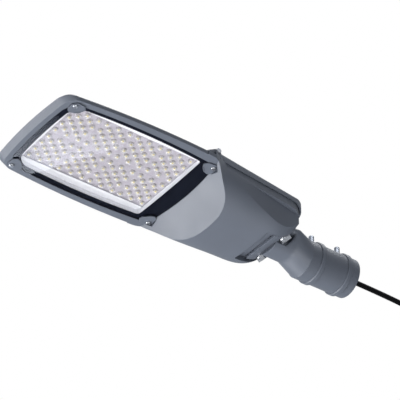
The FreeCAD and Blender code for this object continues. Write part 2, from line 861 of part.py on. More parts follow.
def make_lid():
    low = seam_z + lid_gap
    lid = lid_block(0.0, low, lid_front_x)
    lid = lid.cut(lid_block(lid_wall, low - 1.0, lid_front_x - lid_wall))
    for side in (-1, 1):
        # Corner notch round the hinge lug
        y0, y1 = sorted((side * ear_out, side * lug_out))
        lid = lid.cut(box(lug_foot_x[0] - lug_notch, lid_front_x + 1.0, y0, y1, low - 1.0,
                          lid_edge_z_front + lid_crown))
        x, y = lid_screw_x, side * lid_screw_y
        boss = cyl((x, y, low), (0, 0, 1), lid_boss_d / 2, 20.0)
        lid = lid.fuse(boss.common(lid_block(0.5, low, lid_front_x)))
        lid = lid.cut(cyl((x, y, low - 5.0), (0, 0, 1), lid_screw_d / 2 + 0.1, 60.0))
        lid = lid.cut(cyl((x, y, lid_head_seat()), (0, 0, 1), lid_screw_head_d / 2 + 0.3, 40.0))
        y0, y1 = sorted((side * ear_in, side * ear_out))
        ear = cyl_y(hinge_x, hinge_z, ear_r, y0, y1)
        ear = ear.fuse(box(lid_front_x - 6.0, hinge_x, y0, y1, low + 0.2, hinge_z + ear_r))
        ear = ear.cut(cyl_y(hinge_x, hinge_z, pin_d / 2 + pin_clear, -200, 200))
        lid = lid.fuse(ear)
    return lid


def lid_head_seat():
    return lid_edge_z_rear - 4.0


def make_lid_screws():
    out = []
    seat = lid_head_seat()
    for side in (-1, 1):
        x, y = lid_screw_x, side * lid_screw_y
        shank = cyl((x, y, seam_z - lid_screw_grip), (0, 0, 1), lid_screw_d / 2,
                    seat - seam_z + lid_screw_grip)
        head = cyl((x, y, seat), (0, 0, 1), lid_screw_head_d / 2, lid_screw_head_h)
        key = hex_prism((x, y, seat + 2.0), (0, 0, 1), 5.0, 4.0)
        out.append(shank.fuse(head).cut(key))
    return Part.makeCompound(out)


def make_lid_seal():
    edge = 0.6
    ring = pod_prism(edge, gear_front_x + 5.0, seam_z, seam_z + lid_gap - 0.1)
    ring = ring.cut(pod_prism(edge + lid_seal_w, gear_front_x + edge, seam_z - 1.0, seam_z + 2.0))
    for side in (-1, 1):
        ring = ring.cut(cyl((lid_screw_x, side * lid_screw_y, seam_z - 1.0), (0, 0, 1),
                            lid_screw_d / 2 + lid_screw_play, 3.0))
    return ring


def make_hinge_pins():
    out = []
    for side in (-1, 1):
        y0, y1 = sorted((side * (ear_in - 1.5), side * lug_out))
        pin = cyl_y(hinge_x, hinge_z, pin_d / 2, y0, y1)
        h0, h1 = sorted((side * lug_out, side * (lug_out + pin_head_t)))
        head = cyl_y(hinge_x, hinge_z, pin_head_d / 2, h0, h1)
        out.append(pin.fuse(head))
    return Part.makeCompound(out)


def make_glass():
    return prism(glass_wire(glass_gap, face_z + glass_sink), glass_t)


def make_gasket():
    low = face_z + glass_sink + glass_t
    ring = prism(glass_wire(glass_gap, low), gasket_t)
    return ring.cut(prism(glass_wire(glass_gap + gasket_w, low - 1.0), gasket_t + 2.0))


def make_board():
    high = chamber_top_z
    return box(board_x - board_size[0] / 2, board_x + board_size[0] / 2,
               -board_size[1] / 2, board_size[1] / 2, high - board_t, high)


def module_centres():
    out = []
    for i in range(4):
        for j in (-1, 1):
            out.append((board_x + (i - 1.5) * module_pitch_x, j * module_pitch_y / 2))
    return out


def lens_places(cx, cy):
    """Eighteen staggered places on a grid of five by seven."""
    out = []
    for i in range(5):
        for j in range(7):
            if (i + j) % 2 == 0:
                out.append((cx + (i - 2) * lens_pitch, cy + (j - 3) * lens_row))
    return out


def make_chips():
    z1 = chamber_top_z - board_t
    out = []
    for cx, cy in module_centres():
        for x, y in lens_places(cx, cy):
            half = chip_size / 2
            out.append(box(x - half, x + half, y - half, y + half, z1 - chip_t, z1))
    return Part.makeCompound(out)


def make_lens_dome(x, y, z):
    """One lens with few faces, on its (radius, depth) profile, rooted in the plate."""
    rings = []
    for r, deep in ((lens_dome[0][0], -lens_plate_t / 2),) + lens_dome:
        pts = []
        for k in range(lens_sides):
            a = 2.0 * math.pi * k / lens_sides
            pts.append(V(x + r * math.cos(a), y + r * math.sin(a), z - deep))
        rings.append(pts)
    outlines = [rings[0], rings[-1]]
    for high, low in zip(rings, rings[1:]):
        for k in range(lens_sides):
            n = (k + 1) % lens_sides
            outlines.append([high[k], high[n], low[n], low[k]])
    faces = [Part.Face(Part.makePolygon(pts + pts[:1])) for pts in outlines]
    return Part.Solid(Part.makeShell(faces))


def make_lens_plate(cx, cy):
    """Shallow clear tray whose rim stands on the board."""
    a = module_size[0] / 2
    b = module_size[1] / 2
    z1 = chamber_top_z - board_t
    z0 = z1 - lens_plate_h
    w = lens_plate_rim
    plate = box(cx - a, cx + a, cy - b, cy + b, z0, z1)
    room = box(cx - a + w, cx + a - w, cy - b + w, cy + b - w, z0 + lens_plate_t, z1 + 1.0)
    plate = plate.cut(room)
    return plate.multiFuse([make_lens_dome(x, y, z0) for x, y in lens_places(cx, cy)])


def make_white_frame():
    """White sheet round the lens plates, with a skirt that reaches to the glass."""
    z0 = chamber_top_z - board_t - lens_plate_h
    z1 = z0 + frame_sheet_t
    shell = prism(window_wire(-frame_sheet_t, skirt_low_z), z1 - skirt_low_z)
    shell = shell.cut(prism(window_wire(0.0, skirt_low_z - 1.0), z0 - skirt_low_z + 1.0))
    a = 2 * module_pitch_x - 0.9
    b = module_pitch_y - 0.9
    return shell.cut(box(board_x - a, board_x + a, -b, b, z0 - 1.0, z0 + 5.0))


def make_tray():
    tray = box(tray_x[0], tray_x[1], -tray_half, tray_half, tray_z, tray_z + tray_t)
    upright = [e for e in tray.Edges if abs(e.Length - tray_t) < 0.01]
    tray = tray.makeFillet(8.0, upright)
    for x, y in tray_post_places():
        tray = tray.cut(cyl((x, y, 0), (0, 0, 1), tray_screw_d / 2 + 0.2, 20.0))
    return tray


def make_tray_screws():
    out = []
    for x, y in tray_post_places():
        top = tray_z + tray_t
        shank = cyl((x, y, top - 8.0), (0, 0, 1), tray_screw_d / 2, 8.0)
        out.append(shank.fuse(cyl((x, y, top), (0, 0, 1), tray_screw_d, 2.5)))
    return Part.makeCompound(out)


def case(size, at, round_r):
    """Rounded box that stands on the gear tray."""
    dx, dy, dz = size
    x, y = at
    z0 = tray_z + tray_t
    block = box(x - dx / 2, x + dx / 2, y - dy / 2, y + dy / 2, z0, z0 + dz)
    upright = [e for e in block.Edges if abs(e.Length - dz) < 0.01]
    return block.makeFillet(round_r, upright)


def make_terminal():
    dx, dy, dz = terminal_size
    block = case(terminal_size, terminal_at, 1.0)
    x, y = terminal_at
    z1 = tray_z + tray_t + dz
    for k in (-1, 0, 1):
        cy = y + k * dy / 3.4
        block = block.cut(cyl((x, cy, z1 - 5.0), (0, 0, 1), 2.6, 6.0))
        block = block.cut(cyl((x - dx, cy, z1 - 11.0), (1, 0, 0), 2.4, dx * 0.75))
    return block


def run_wire(points):
    """Straight runs joined by arcs that touch both runs."""
    pts = [V(*p) for p in points]
    edges = []
    start = pts[0]
    radii = []
    for k in range(1, len(pts) - 1):
        a, b, c = pts[k - 1], pts[k], pts[k + 1]
        u = (a - b) / (a - b).Length
        w = (c - b) / (c - b).Length
        turn = math.pi - u.getAngle(w)
        short = min((a - b).Length, (c - b).Length)
        r = 0.45 * short / math.tan(turn / 2)
        back = 0.45 * short
        p0 = b + u * back
        p1 = b + w * back
        mid = (u + w) / (u + w).Length
        centre = b + mid * (r / math.cos(turn / 2))
        pm = centre - mid * r
        edges.append(Part.LineSegment(start, p0).toShape())
        edges.append(Part.Arc(p0, pm, p1).toShape())
        start = p1
        radii.append(round(r, 1))
    edges.append(Part.LineSegment(start, pts[-1]).toShape())
    return Part.Wire(edges), radii


def make_cord(points, d, name):
    wire, radii = run_wire(points)
    first = wire.Edges[0]
    along = first.tangentAt(first.FirstParameter)
    ring = Part.Wire(Part.makeCircle(d / 2, V(*points[0]), along))
    tube = wire.makePipeShell([ring], True, True)
    ideal = math.pi * d * d / 4 * wire.Length
    print(name, "radii", radii, "length", round(wire.Length, 1),
          "volume ratio", round(tube.Volume / ideal, 4))
    return tube


def make_gland():
    """Gland body: thread in the bulkhead and a six-sided flange before it."""
    body = cyl((socket_depth - 1.0, 0, 0), (1, 0, 0), gland_thread_d / 2 - 0.05,
               bulkhead_t + 1.0)
    flange = hex_prism((socket_depth - gland_flange_t, 0, 0), (1, 0, 0), gland_af,
                       gland_flange_t)
    body = body.fuse(flange)
    return body.cut(cyl((0, 0, 0), (1, 0, 0), lead_d / 2 + gland_bore_clear, 200.0))


def gland_face_x():
    return socket_depth - gland_flange_t - gland_cap_len


def make_gland_cap():
    x0 = gland_face_x()
    tip = Part.makeCone(lead_d / 2 + 2.0, gland_cap_d / 2, gland_taper_len, V(x0, 0, 0),
                        V(1, 0, 0))
    grip = cyl((x0 + gland_taper_len, 0, 0), (1, 0, 0), gland_cap_d / 2,
               gland_cap_len - gland_taper_len)
    cap = tip.fuse(grip)
    for k in range(12):
        a = math.radians(30.0 * k)
        r = gland_cap_d / 2 + 0.5
        cap = cap.cut(cyl((x0, r * math.cos(a), r * math.sin(a)), (1, 0, 0), 1.3,
                          gland_cap_len + 1.0))
    return cap.cut(cyl((0, 0, 0), (1, 0, 0), lead_d / 2 + gland_bore_clear, 200.0))


def link_points():
    """Lead inside the adaptor, from the gland's face to just before the drum."""
    end = drum_point(drum_r + lead_drum_gap)
    return [(gland_face_x(), 0.0, 0.0), (neck_bend_x, 0.0, 0.0), end]


lead_route = [
    (gland_face_x(), 0.0, 0.0),
    (-128.0, 0.0, 0.0),
    (-176.0, 0.0, -13.0),
    (-214.0, 0.0, -44.0),
    (-236.0, 0.0, -88.0),
    (-242.0, 0.0, -135.0),
]


def lead_end():
    a = V(*lead_route[-2])
    b = V(*lead_route[-1])
    return b, (b - a) / (b - a).Length


def core_starts():
    """Where the three cores leave the sheath's end, and their direction."""
    tip, along = lead_end()
    across = V(0, 1, 0)
    third = along.cross(across)
    out = []
    for k in range(3):
        a = math.radians(120.0 * k + 90.0)
        out.append(tip + (third * math.cos(a) + across * math.sin(a)) * core_spread)
    return out, along


def make_cores():
    """Three insulated cores that stick out of the sheath's end."""
    starts, along = core_starts()
    return Part.makeCompound([Part.makeCylinder(core_d / 2, core_len, start, along)
                              for start in starts])


def make_ferrules():
    starts, along = core_starts()
    return Part.makeCompound([Part.makeCylinder(ferrule_d / 2, ferrule_len,
                                                start + along * core_len, along)
                              for start in starts])


def make_entry_grommet():
    """Rubber ring in the drum's cable hole."""
    inner = drum_r - drum_wall - 3.2
    ring = cyl(drum_point(inner), entry_dir(), entry_hole_d / 2, 12.0)
    ring = ring.common(cyl_y(pivot_x, pivot_z, drum_r - 0.4, -60, 60))
    flange = cyl(drum_point(inner), entry_dir(), entry_hole_d / 2 + 1.5, 1.2)
    hole = cyl(drum_point(10.0), entry_dir(), lead_d / 2 + 0.1, 50.0)
    return ring.fuse(flange).cut(hole)


def inner_points():
    x, y = terminal_at
    z = tray_z + tray_t + terminal_size[2] - 11.0
    return [
        drum_point(drum_r - 0.5),
        drum_point(22.0),
        (pivot_x + 4.0, -10.0, pivot_z - 5.0),
        (pivot_x + 22.0, y, z),
        (x - terminal_size[0] / 2, y, z),
    ]


def led_lead_points():
    x, y = driver_at
    z = tray_z + tray_t + driver_size[2] * 0.6
    x0 = x + driver_size[0] / 2
    return [
        (x0, y, z),
        (x0 + 14.0, y, z),
        (x0 + 26.0, y, pass_z),
        (chamber_rear_x - 8.0, y, pass_z),
    ]


housing = make_housing()
save("main_housing", housing)
save("spigot_adaptor", make_adaptor())
save("collar_set_screws", make_set_screws())
save("tilt_clamp_bolts", make_clamp_bolts())
save("tilt_clamp_washers", make_clamp_washers())
save("gear_lid", make_lid())
save("lid_screws", make_lid_screws())
save("lid_seal", make_lid_seal())
save("hinge_pins", make_hinge_pins())
save("glass", make_glass())
save("glass_gasket", make_gasket())
clip_names = ("rear_left", "rear_right", "front_left", "front_right")
for (x, y), name in zip(clip_places(), clip_names):
    save("glass_clip_" + name, make_clip(x, y))
save("clip_screws", make_clip_screws())
save("led_board", make_board())
save("led_chips", make_chips())
save("white_frame", make_white_frame())
for k, (cx, cy) in enumerate(module_centres()):
    save("lens_plate_" + str(k + 1), make_lens_plate(cx, cy))
save("gear_tray", make_tray())
save("tray_screws", make_tray_screws())
save("led_driver", case(driver_size, driver_at, 3.0))
save("surge_protector", case(surge_size, surge_at, 4.0))
save("terminal_block", make_terminal())
save("cable_gland", make_gland())
save("gland_cap", make_gland_cap())
save("lead_in_neck", make_cord(link_points(), lead_d, "lead_in_neck"))
save("supply_lead", make_cord(lead_route, lead_d, "supply_lead"))
save("lead_cores", make_cores())
save("core_ferrules", make_ferrules())
save("entry_grommet", make_entry_grommet())
save("inner_lead", make_cord(inner_points(), inner_lead_d, "inner_lead"))
save("led_lead", make_cord(led_lead_points(), led_lead_d, "led_lead"))
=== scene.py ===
import json
import math

import bmesh
import bpy
from mathutils import Matrix, Vector

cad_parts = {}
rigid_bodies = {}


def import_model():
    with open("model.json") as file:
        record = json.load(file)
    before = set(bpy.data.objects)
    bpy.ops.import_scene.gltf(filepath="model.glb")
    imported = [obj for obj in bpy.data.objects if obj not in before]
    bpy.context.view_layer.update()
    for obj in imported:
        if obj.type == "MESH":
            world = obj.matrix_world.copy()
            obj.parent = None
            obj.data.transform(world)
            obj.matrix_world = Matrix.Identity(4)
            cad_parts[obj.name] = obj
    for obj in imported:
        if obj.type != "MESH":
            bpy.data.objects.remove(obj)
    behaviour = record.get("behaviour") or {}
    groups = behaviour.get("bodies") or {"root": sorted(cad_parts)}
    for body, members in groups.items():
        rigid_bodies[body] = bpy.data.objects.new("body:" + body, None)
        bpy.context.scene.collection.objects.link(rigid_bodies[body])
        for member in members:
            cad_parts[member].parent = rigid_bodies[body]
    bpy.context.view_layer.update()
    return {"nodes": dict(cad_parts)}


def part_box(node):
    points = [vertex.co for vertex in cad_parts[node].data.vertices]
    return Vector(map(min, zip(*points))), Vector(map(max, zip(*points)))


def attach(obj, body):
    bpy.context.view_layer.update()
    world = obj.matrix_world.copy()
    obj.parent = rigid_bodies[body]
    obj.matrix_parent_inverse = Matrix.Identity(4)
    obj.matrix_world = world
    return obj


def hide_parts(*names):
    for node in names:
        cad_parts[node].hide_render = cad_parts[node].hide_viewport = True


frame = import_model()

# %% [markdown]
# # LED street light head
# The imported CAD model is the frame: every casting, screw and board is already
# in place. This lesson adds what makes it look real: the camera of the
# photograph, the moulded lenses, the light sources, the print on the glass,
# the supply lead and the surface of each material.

nodes = frame["nodes"]
scene = bpy.context.scene
MM = 0.001

# %% [markdown]
# ## The camera
# The lens grid behind the glass is a regular lattice, so it fixes the camera:
# a long lens about four metres away, below the head and in front of it, with
# no roll. The three directions below are the image's right, its up and the
# way back from the picture to the camera.

# %% Camera
cam_data = bpy.data.cameras.new("camera")
cam_data.lens = 216.0
cam_data.sensor_width = 36.0
cam_data.clip_start = 0.1
cam_data.clip_end = 100.0
camera = bpy.data.objects.new("camera", cam_data)
scene.collection.objects.link(camera)
right = Vector((-0.80854, 0.58845, 0.0))
back = Vector((0.47074, 0.64681, -0.60004)).normalized()
up = back.cross(right).normalized()
turn = Matrix((right, up, back)).transposed()
camera.matrix_world = Matrix.Translation((2.2664, 2.6702, -2.4449)) @ turn.to_4x4()
scene.camera = camera
scene.view_settings.view_transform = "Standard"

# %% [markdown]
# ## Light path and backdrop
# The photograph has a plain white background. Camera rays and rays through the
# glass see it as white. Mirror-like rays see the same pale backdrop, which
# falls off towards the floor behind the head, so that the glass keeps its dark
# border. All other rays meet a softer level, so the castings keep their
# shading.

# %% World


def link_value(tree, socket, value):
    """Set a socket to a constant, or join it to another node's output."""
    if isinstance(value, Signal):
        tree.links.new(value.socket, socket)
    elif hasattr(socket.default_value, "__len__") and not hasattr(value, "__len__"):
        socket.default_value = [value] * len(socket.default_value)
    elif hasattr(value, "__len__") and len(socket.default_value) == 4 and len(value) == 3:
        socket.default_value = (*value, 1.0)
    else:
        socket.default_value = value


class Signal:
    """An output socket of a node tree that can be added, scaled and so on."""

    def __init__(self, tree, socket):
        self.tree = tree
        self.socket = socket

    def calc(self, operation, other=0.0, swap=False):
        node = self.tree.nodes.new("ShaderNodeMath")
        node.operation = operation
        first, second = (other, self) if swap else (self, other)
        link_value(self.tree, node.inputs[0], first)
        link_value(self.tree, node.inputs[1], second)
        return Signal(self.tree, node.outputs[0])

    def __add__(self, other):
        return self.calc("ADD", other)

    def __radd__(self, other):
        return self.calc("ADD", other)

    def __sub__(self, other):
        return self.calc("SUBTRACT", other)

    def __rsub__(self, other):
        return self.calc("SUBTRACT", other, swap=True)

    def __mul__(self, other):
        return self.calc("MULTIPLY", other)

    def __rmul__(self, other):
        return self.calc("MULTIPLY", other)


class Shader:
    """A node tree under construction, with one method for any node."""

    def __init__(self, tree):
        self.tree = tree
        tree.nodes.clear()

    def node(self, kind, settings=None, out=0, **inputs):
        node = self.tree.nodes.new(kind)
        for name, value in (settings or {}).items():
            setattr(node, name, value)
        for name, value in inputs.items():
            by_number = name[0] == "i" and name[1:].isdigit()
            key = int(name[1:]) if by_number else name.replace("_", " ")
            link_value(self.tree, node.inputs[key], value)
        return Signal(self.tree, node.outputs[out])

    def output(self, kind, surface):
        node = self.tree.nodes.new(kind)
        self.tree.links.new(surface.socket, node.inputs["Surface"])

    def place(self):
        return self.node("ShaderNodeTexCoord", out="Object")

    def noise(self, scale, detail=3.0):
        return self.node("ShaderNodeTexNoise", Vector=self.place(), Scale=scale,
                         Detail=detail, Roughness=0.5)

    def ramp(self, signal, low, high, to_low=0.0, to_high=1.0):
        return self.node("ShaderNodeMapRange", i0=signal, i1=low, i2=high, i3=to_low,
                         i4=to_high)

    def blend(self, factor, first, second):
        return self.node("ShaderNodeMix", {"data_type": "RGBA"}, out=2, i0=factor, i6=first,
                         i7=second)

    def bump(self, height, distance, strength, normal):
        return self.node("ShaderNodeBump", Height=height, Distance=distance,
                         Strength=strength, Normal=normal)

    def xyz(self):
        node = self.tree.nodes.new("ShaderNodeSeparateXYZ")
        self.tree.links.new(self.place().socket, node.inputs[0])
        return [Signal(self.tree, node.outputs[k]) for k in range(3)]


world = bpy.data.worlds.new("room")
scene.world = world
world.use_nodes = True
room = Shader(world.node_tree)
heading = room.node("ShaderNodeTexCoord", out="Generated")
split = world.node_tree.nodes.new("ShaderNodeSeparateXYZ")
world.node_tree.links.new(heading.socket, split.inputs[0])
ahead = Signal(world.node_tree, split.outputs[0])
side = Signal(world.node_tree, split.outputs[1])
height = Signal(world.node_tree, split.outputs[2])
glow = room.ramp(ahead * 0.8 - side * 0.5 + height * 0.1, -0.6, 1.0, 0.035, 0.33)
mirror = room.ramp(height + ahead * 0.6, -0.95, 0.9, 0.05, 0.80)
path_camera = room.node("ShaderNodeLightPath", out="Is Camera Ray")
path_glass = room.node("ShaderNodeLightPath", out="Is Transmission Ray")
path_mirror = room.node("ShaderNodeLightPath", out="Is Glossy Ray")
backdrop_tint = (0.93, 0.96, 1.0)
diffuse = room.node("ShaderNodeBackground", Color=backdrop_tint, Strength=glow)
mirrored = room.node("ShaderNodeBackground", Color=backdrop_tint, Strength=mirror)
white = room.node("ShaderNodeBackground", Color=(1.0, 1.0, 1.0), Strength=1.0)
see_white = path_camera.calc("MAXIMUM", path_glass)
around = room.node("ShaderNodeMixShader", i0=path_mirror, i1=diffuse, i2=mirrored)
sky = room.node("ShaderNodeMixShader", i0=see_white, i1=around, i2=white)
room.output("ShaderNodeOutputWorld", sky)
print("world nodes", len(world.node_tree.nodes))

# %% [markdown]
# ## Studio lights
# The slanted facet behind the glass is the brightest part of the casting,
# and the hollow in the side is the darkest. So the main softbox hangs low in
# front, two weak ones fill from below and from the camera's side, and one
# lights the top.

# %% Lights


def softbox(name, place, target, size, watts, colour=(1.0, 1.0, 1.0)):
    data = bpy.data.lights.new(name, "AREA")
    data.shape = "RECTANGLE"
    data.size = size[0]
    data.size_y = size[1]
    data.energy = watts
    data.color = colour
    light = bpy.data.objects.new(name, data)
    light.location = place
    aim = Vector(target) - Vector(place)
    light.rotation_euler = aim.to_track_quat("-Z", "Y").to_euler()
    scene.collection.objects.link(light)
    return light


head_middle = (0.35, 0.0, 0.0)
softbox("key_light", (1.95, -1.70, -1.30), head_middle, (1.5, 1.5), 58.0)
softbox("under_light", (0.3, -0.2, -2.7), head_middle, (1.6, 1.6), 25.0)
softbox("fill_light", (0.7, 1.5, -2.2), head_middle, (1.8, 1.8), 22.0)
softbox("top_light", (-0.2, 0.4, 2.6), head_middle, (1.6, 1.6), 50.0)
for thing in scene.objects:
    if thing.type == "LIGHT":
        print(thing.name, thing.data.energy, "W")

# %% [markdown]
# A white card below and behind the head is seen only as a reflection. It gives
# the glass the soft bright patch over its front corner, with one straight edge
# and a slow fade along the front.

# %% Reflector card
bm = bmesh.new()
card_z = -1.2
card_near = (-0.197, -1.528)
card_far = (-0.348, -1.243)
card_wide = 0.22
card_flare = 1.3
card_corners = [card_near, (card_near[0] + card_wide, card_near[1]),
                (card_far[0] + card_wide * card_flare, card_far[1]), card_far]
bm.faces.new([bm.verts.new((x, y, card_z)) for x, y in card_corners])
mesh = bpy.data.meshes.new("reflector_card")
bm.to_mesh(mesh)
bm.free()
card = bpy.data.objects.new("reflector_card", mesh)
scene.collection.objects.link(card)
for ray in ("camera", "diffuse", "transmission", "shadow", "volume_scatter"):
    setattr(card, "visible_" + ray, False)
card_mat = bpy.data.materials.new("reflector_glow")
card_mat.use_nodes = True
paper = Shader(card_mat.node_tree)
across, along, _ = paper.xyz()
card_glow = 9.5
fade = paper.ramp(across * 0.305 + along * 0.954, -1.476, -1.20, card_glow, 0.0)
paper.output("ShaderNodeOutputMaterial",
             paper.node("ShaderNodeEmission", Color=(0.80, 0.87, 1.0), Strength=fade))
mesh.materials.append(card_mat)

# %% [markdown]
# ## The floor
# The head is held up by its socket, so it stands on nothing. A pale floor far
# below closes the room for views from above. The camera sees it nearly white.

# %% Floor
mesh = bpy.data.meshes.new("floor")
reach = 30.0
drop = -3.4
mesh.from_pydata([(-reach, -reach, drop), (reach, -reach, drop), (reach, reach, drop),
                  (-reach, reach, drop)], [], [(0, 1, 2, 3)])
floor = bpy.data.objects.new("floor", mesh)
scene.collection.objects.link(floor)
floor_mat = bpy.data.materials.new("floor_paint")
floor_mat.use_nodes = True
paint = Shader(floor_mat.node_tree)
tone = paint.ramp(paint.noise(1.5), 0.3, 0.7, 0.80, 0.84)
floor_matt = paint.node("ShaderNodeBsdfDiffuse", Color=paint.blend(tone, (0, 0, 0), (1, 1, 1)))
floor_seen = paint.node("ShaderNodeEmission", Color=(0.97, 0.98, 1.0), Strength=0.9)
to_camera = paint.node("ShaderNodeLightPath", out="Is Camera Ray")
seen_share = 0.8
floor_shader = paint.node("ShaderNodeMixShader", i0=to_camera * seen_share, i1=floor_matt,
                          i2=floor_seen)
floor_clear = paint.node("ShaderNodeBsdfTransparent", Color=(1.0, 1.0, 1.0))
in_mirror = paint.node("ShaderNodeLightPath", out="Is Glossy Ray")
paint.output("ShaderNodeOutputMaterial",
             paint.node("ShaderNodeMixShader", i0=in_mirror, i1=floor_shader, i2=floor_clear))
print("floor at", drop, "m")
floor.data.materials.append(floor_mat)

# %% [markdown]
# ## The supply lead
# The route repeats the one of the CAD tube: straight out of the cable gland
# along the socket, then over and down under its own weight. A spline with
# these control points gives one smooth line. The real lead is about 0.4 m
# long, too short to wind up, so it hangs. Its thickness is set at the points,
# with a bevel of one, so that the curve's box is no larger than the lead.

# %% Supply lead
lead_route = [
    (66.0, 0.0, 0.0),
    (-128.0, 0.0, 0.0),
    (-176.0, 0.0, -13.0),
    (-214.0, 0.0, -44.0),
    (-236.0, 0.0, -88.0),
    (-242.0, 0.0, -135.0),
]
lead_d = 9.6
curve = bpy.data.curves.new("supply_lead_cable", "CURVE")
curve.dimensions = "3D"
curve.bevel_depth = 1.0
curve.bevel_resolution = 5
curve.resolution_u = 24
curve.use_fill_caps = True
spline = curve.splines.new("NURBS")
spline.points.add(len(lead_route) - 1)
for point, place in zip(spline.points, lead_route):
    point.co = (place[0] * MM, place[1] * MM, place[2] * MM, 1.0)
    point.radius = lead_d * MM / 2
spline.order_u = 3
spline.use_endpoint_u = True
lead = bpy.data.objects.new("supply_lead_cable", curve)
scene.collection.objects.link(lead)
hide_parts("supply_lead")
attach(lead, "adaptor")

# %% [markdown]
# ## Materials
# Every material is built from nodes on object coordinates, so it has the same
# grain size on every piece. The castings are powder coated: a fine orange
# peel, a slight change of tone from place to place, edges painted paler as a
# highlight, and painted shade that darkens the corners where surfaces meet.

# %% Powder coat


def new_material(name):
    mat = bpy.data.materials.new(name)
    mat.use_nodes = True
    return mat, Shader(mat.node_tree)


def principled(s, **inputs):
    return s.node("ShaderNodeBsdfPrincipled", **inputs)


def powder_coat(name, colour, rough=0.42, edge=1.1, crease=None, shade_reach=9.0):
    mat, s = new_material(name)
    cloudy = s.ramp(s.noise(9.0, 4.0), 0.3, 0.7)
    grains = s.noise(1400.0, 2.0)
    dark = tuple(c * 0.93 for c in colour)
    light = tuple(c * 1.05 for c in colour)
    tone = s.blend(cloudy, dark, light)
    speck = s.ramp(s.noise(2600.0, 1.0), 0.55, 0.75, 0.0, 0.10)
    tone = s.blend(speck, tone, tuple(min(1.0, c * 1.9) for c in colour))
    soft_edge = s.node("ShaderNodeBevel", {"samples": 6}, Radius=edge * MM)
    flat = s.node("ShaderNodeNewGeometry", out="True Normal")
    same = s.node("ShaderNodeVectorMath", {"operation": "DOT_PRODUCT"}, out="Value",
                  i0=soft_edge, i1=flat)
    # Painted highlight: every edge that the bevel normal finds is lightened towards a paler
    # tone.
    painted_edge_highlight = s.ramp(1.0 - same, 0.02, 0.22, 0.0, 0.55)
    tone = s.blend(painted_edge_highlight, tone, tuple(c * 2.1 for c in colour))
    # Painted shade: ambient occlusion darkens corners, creases and recesses where surfaces
    # meet.
    open_air = s.node("ShaderNodeAmbientOcclusion", {"samples": 6}, out="AO",
                      Distance=shade_reach * MM)
    painted_shade = s.ramp(open_air, 0.25, 0.85, 0.75, 0.0)
    tone = s.blend(painted_shade, tone, tuple(c * 0.25 for c in colour))
    if crease:
        centre, reach, radius = crease
        away = (s.xyz()[0] - centre * MM).calc("ABSOLUTE")
        size = s.ramp(away, reach * 0.7 * MM, reach * MM, radius * MM, edge * MM)
        soft_edge = s.node("ShaderNodeBevel", {"samples": 8}, Radius=size)
    peel = s.bump(grains, 0.00012, 0.35, soft_edge)
    gloss = s.ramp(s.noise(22.0, 5.0), 0.25, 0.75, rough - 0.05, rough + 0.06)
    surface = principled(s, Base_Color=tone, Roughness=gloss, Normal=peel)
    s.output("ShaderNodeOutputMaterial", surface)
    return mat


coat = powder_coat("powder_coat_grey", (0.150, 0.170, 0.212), shade_reach=15.0)
coat_adaptor = powder_coat("powder_coat_adaptor", (0.150, 0.170, 0.212), 0.40, 0.8,
                           crease=(136.0, 20.0, 11.0))

# %% [markdown]
# Screws, bolts and washers are zinc plated steel: bright, slightly uneven,
# with fine turning marks.

# %% Zinc plated steel


thread_pitch = 1.5


def plated_steel(name, colour=(0.62, 0.64, 0.68), thread=False):
    mat, s = new_material(name)
    mottled = s.ramp(s.noise(180.0, 4.0), 0.3, 0.7)
    tone = s.blend(mottled, tuple(c * 0.86 for c in colour), colour)
    soft_edge = s.node("ShaderNodeBevel", {"samples": 4}, Radius=0.35 * MM)
    if thread:
        z = s.xyz()[2]
        wave = (z * (2.0 * math.pi / (thread_pitch * MM))).calc("SINE")
        normal = s.bump(wave, 0.0005, 0.9, soft_edge)
    else:
        normal = s.bump(s.noise(1500.0, 2.0), 0.00006, 0.3, soft_edge)
    gloss = s.ramp(s.noise(260.0, 3.0), 0.3, 0.7, 0.24, 0.38)
    surface = principled(s, Base_Color=tone, Metallic=1.0, Roughness=gloss, Normal=normal)
    s.output("ShaderNodeOutputMaterial", surface)
    return mat


steel = plated_steel("zinc_steel")
steel_thread = plated_steel("zinc_steel_thread", (0.34, 0.37, 0.43), thread=True)
sheet_zinc = plated_steel("galvanised_sheet", (0.55, 0.57, 0.58))

# %% [markdown]
# Plastics and rubber: one function with a colour, a roughness and the depth
# of the moulded grain.

# %% Moulded plastics and rubber


def moulded(name, colour, rough, grain=0.00006, spread=0.08, grain_scale=900.0, shine=0.5):
    mat, s = new_material(name)
    cloudy = s.ramp(s.noise(30.0, 3.0), 0.3, 0.7)
    tone = s.blend(cloudy, tuple(c * (1.0 - spread) for c in colour), colour)
    soft_edge = s.node("ShaderNodeBevel", {"samples": 4}, Radius=0.5 * MM)
    normal = s.bump(s.noise(grain_scale, 3.0), grain, 0.5, soft_edge)
    gloss = s.ramp(s.noise(60.0, 3.0), 0.3, 0.7, rough - 0.04, rough + 0.05)
    surface = principled(s, Base_Color=tone, Roughness=gloss, Normal=normal,
                         Specular_IOR_Level=shine)
    s.output("ShaderNodeOutputMaterial", surface)
    return mat


rubber = moulded("seal_rubber", (0.018, 0.018, 0.020), 0.6)
black_plastic = moulded("case_black", (0.022, 0.022, 0.025), 0.45)
white_plastic = moulded("case_white", (0.72, 0.72, 0.69), 0.42)
sheath = moulded("cable_sheath", (0.004, 0.004, 0.005), 0.45, 0.00004, 0.15, 500.0, 0.15)
copper_core = moulded("core_insulation", (0.16, 0.075, 0.03), 0.4)
white_sheet = moulded("white_lacquer", (0.92, 0.93, 0.98), 0.45, 0.00001, 0.02)
board_white = moulded("solder_mask_white", (0.86, 0.87, 0.91), 0.38, 0.00002, 0.04, 300.0)
package_white = moulded("led_package", (0.80, 0.79, 0.74), 0.4, 0.00001, 0.03)
phosphor = moulded("led_phosphor", (0.80, 0.66, 0.24), 0.35, 0.00003, 0.12, 1500.0)

# %% [markdown]
# The clear parts let shadow rays through, as a thin clear pane does, so that
# light reaches the lenses behind the glass. Their visible side refracts and
# reflects. The glass has a low index, as coated lamp glass mirrors little.

# %% Clear materials


